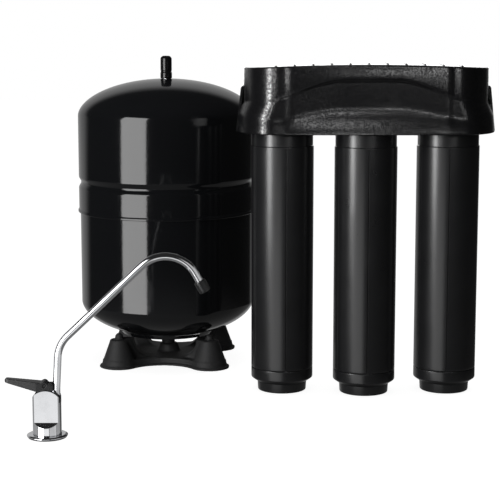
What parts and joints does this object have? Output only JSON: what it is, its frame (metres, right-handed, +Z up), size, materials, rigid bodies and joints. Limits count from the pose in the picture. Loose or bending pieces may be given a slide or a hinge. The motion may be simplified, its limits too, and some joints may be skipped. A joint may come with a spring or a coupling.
{
  "type": "under-sink water filtration system",
  "caption": "Drinking water filter set: pressurised storage tank on a stand, chrome faucet with a swivelling spout, and twist-off cartridges under a wall-mounted head.",
  "frame": {"origin": "on the floor, under the centre of the whole set's bounding box", "axes": "+X to the right as seen from the front, -Y towards the front, +Z up"},
  "size_m": [0.5692, 0.5424, 0.407],
  "materials": {
    "black_enamel": "glossy baked enamel on steel",
    "black_vinyl": "glossy soft vinyl",
    "black_moulding": "black plastic with a fine leather grain",
    "satin_black_plastic": "satin black plastic",
    "lever_black": "satin black plastic",
    "bright_chrome": "polished chrome plate",
    "stainless_steel": "plain stainless steel",
    "plain_brass": "turned brass",
    "black_rubber": "moulded rubber",
    "white_plastic": "white plastic",
    "carbon_block": "pressed carbon",
    "film_wrap": "wound membrane with a film wrap",
    "grey_plastic": "grey plastic"
  },
  "bodies": {
    "base": {"tank_upper_shell": "black_enamel", "tank_lower_shell": "black_enamel", "tank_liner": "white_plastic", "tank_diaphragm": "black_rubber", "diaphragm_clamp_ring": "stainless_steel", "tank_water_port": "stainless_steel", "water_port_seal": "black_rubber", "air_valve": "plain_brass", "air_valve_cap": "black_moulding", "tank_foot_ring": "black_enamel", "tank_stand": "black_moulding", "faucet_gasket": "black_rubber", "faucet_escutcheon": "bright_chrome", "faucet_body": "bright_chrome", "faucet_spout_insert": "lever_black", "faucet_valve_seat": "plain_brass", "faucet_valve_spring": "stainless_steel", "manifold_cover": "black_moulding", "manifold_back_plate": "black_moulding", "manifold_head": "grey_plastic", "automatic_shutoff_cap": "grey_plastic", "back_plate_screw_1": "stainless_steel", "back_plate_screw_2": "stainless_steel", "back_plate_screw_3": "stainless_steel", "back_plate_screw_4": "stainless_steel", "inlet_port_fitting": "white_plastic", "drain_port_fitting": "white_plastic", "outlet_port_fitting": "white_plastic", "tank_port_fitting": "white_plastic"},
    "water_port_cap": {"water_port_cap": "black_vinyl"},
    "valve_stem": {"faucet_valve_stem": "plain_brass", "faucet_valve_seal": "black_rubber", "faucet_pivot_pin": "stainless_steel"},
    "lever": {"faucet_lever": "lever_black"},
    "spout": {"faucet_spout_tube": "bright_chrome", "faucet_spout_tip": "lever_black"},
    "cam_1": {"shutoff_cam_1": "grey_plastic"},
    "cartridge_1": {"cartridge_1_shell": "satin_black_plastic", "cartridge_1_cap": "satin_black_plastic", "cartridge_1_sediment_carbon_media": "carbon_block", "cartridge_1_seal": "black_rubber"},
    "cam_2": {"shutoff_cam_2": "grey_plastic"},
    "cartridge_2": {"cartridge_2_shell": "satin_black_plastic", "cartridge_2_cap": "satin_black_plastic", "cartridge_2_membrane_element": "film_wrap", "cartridge_2_seal": "black_rubber"},
    "cam_3": {"shutoff_cam_3": "grey_plastic"},
    "cartridge_3": {"cartridge_3_shell": "satin_black_plastic", "cartridge_3_cap": "satin_black_plastic", "cartridge_3_polishing_carbon_media": "carbon_block", "cartridge_3_seal": "black_rubber"},
    "inlet_collet": {"inlet_port_collet": "white_plastic"},
    "drain_collet": {"drain_port_collet": "white_plastic"},
    "outlet_collet": {"outlet_port_collet": "white_plastic"},
    "tank_collet": {"tank_port_collet": "white_plastic"}
  },
  "joints": [
    {"name": "cartridge_1_twist", "type": "hinge", "parent": "base", "child": "cam_1", "pos_m": [0.0259, -0.02542, 0.36], "axis": [0, 0, 1], "range_deg": [0, 90]},
    {"name": "cartridge_1_drop", "type": "slide", "parent": "cam_1", "child": "cartridge_1", "axis": [0, 0, -1], "range_m": [0, 0.06]},
    {"name": "cartridge_2_twist", "type": "hinge", "parent": "base", "child": "cam_2", "pos_m": [0.1269, -0.03742, 0.36], "axis": [0, 0, 1], "range_deg": [0, 90]},
    {"name": "cartridge_2_drop", "type": "slide", "parent": "cam_2", "child": "cartridge_2", "axis": [0, 0, -1], "range_m": [0, 0.06]},
    {"name": "cartridge_3_twist", "type": "hinge", "parent": "base", "child": "cam_3", "pos_m": [0.2279, -0.02542, 0.36], "axis": [0, 0, 1], "range_deg": [0, 90]},
    {"name": "cartridge_3_drop", "type": "slide", "parent": "cam_3", "child": "cartridge_3", "axis": [0, 0, -1], "range_m": [0, 0.06]},
    {"name": "faucet_valve_lift", "type": "slide", "parent": "base", "child": "valve_stem", "axis": [0, 0, 1], "range_m": [0, 0.0025], "stiffness_N_per_m": 2000, "deforming": ["faucet_valve_spring"]},
    {"name": "faucet_lever_tilt", "type": "hinge", "parent": "valve_stem", "child": "lever", "pos_m": [-0.2402, -0.24843, 0.0587], "axis": [0, 1, 0], "range_deg": [-14, 80], "stiffness_Nm_per_rad": 0.3},
    {"name": "spout_swivel", "type": "hinge", "parent": "base", "child": "spout", "pos_m": [-0.2275, -0.24843, 0.04], "axis": [0, 0, 1], "continuous": true},
    {"name": "water_port_cap_pull", "type": "slide", "parent": "base", "child": "water_port_cap", "axis": [0, 0, 1], "range_m": [0, 0.04]},
    {"name": "inlet_collet_press", "type": "slide", "parent": "base", "child": "inlet_collet", "axis": [0, 0, 1], "range_m": [0, 0.0015]},
    {"name": "drain_collet_press", "type": "slide", "parent": "base", "child": "drain_collet", "axis": [0, 0, 1], "range_m": [0, 0.0015]},
    {"name": "outlet_collet_press", "type": "slide", "parent": "base", "child": "outlet_collet", "axis": [0, 0, 1], "range_m": [0, 0.0015]},
    {"name": "tank_collet_press", "type": "slide", "parent": "base", "child": "tank_collet", "axis": [0, 0, 1], "range_m": [0, 0.0015]}
  ]
}
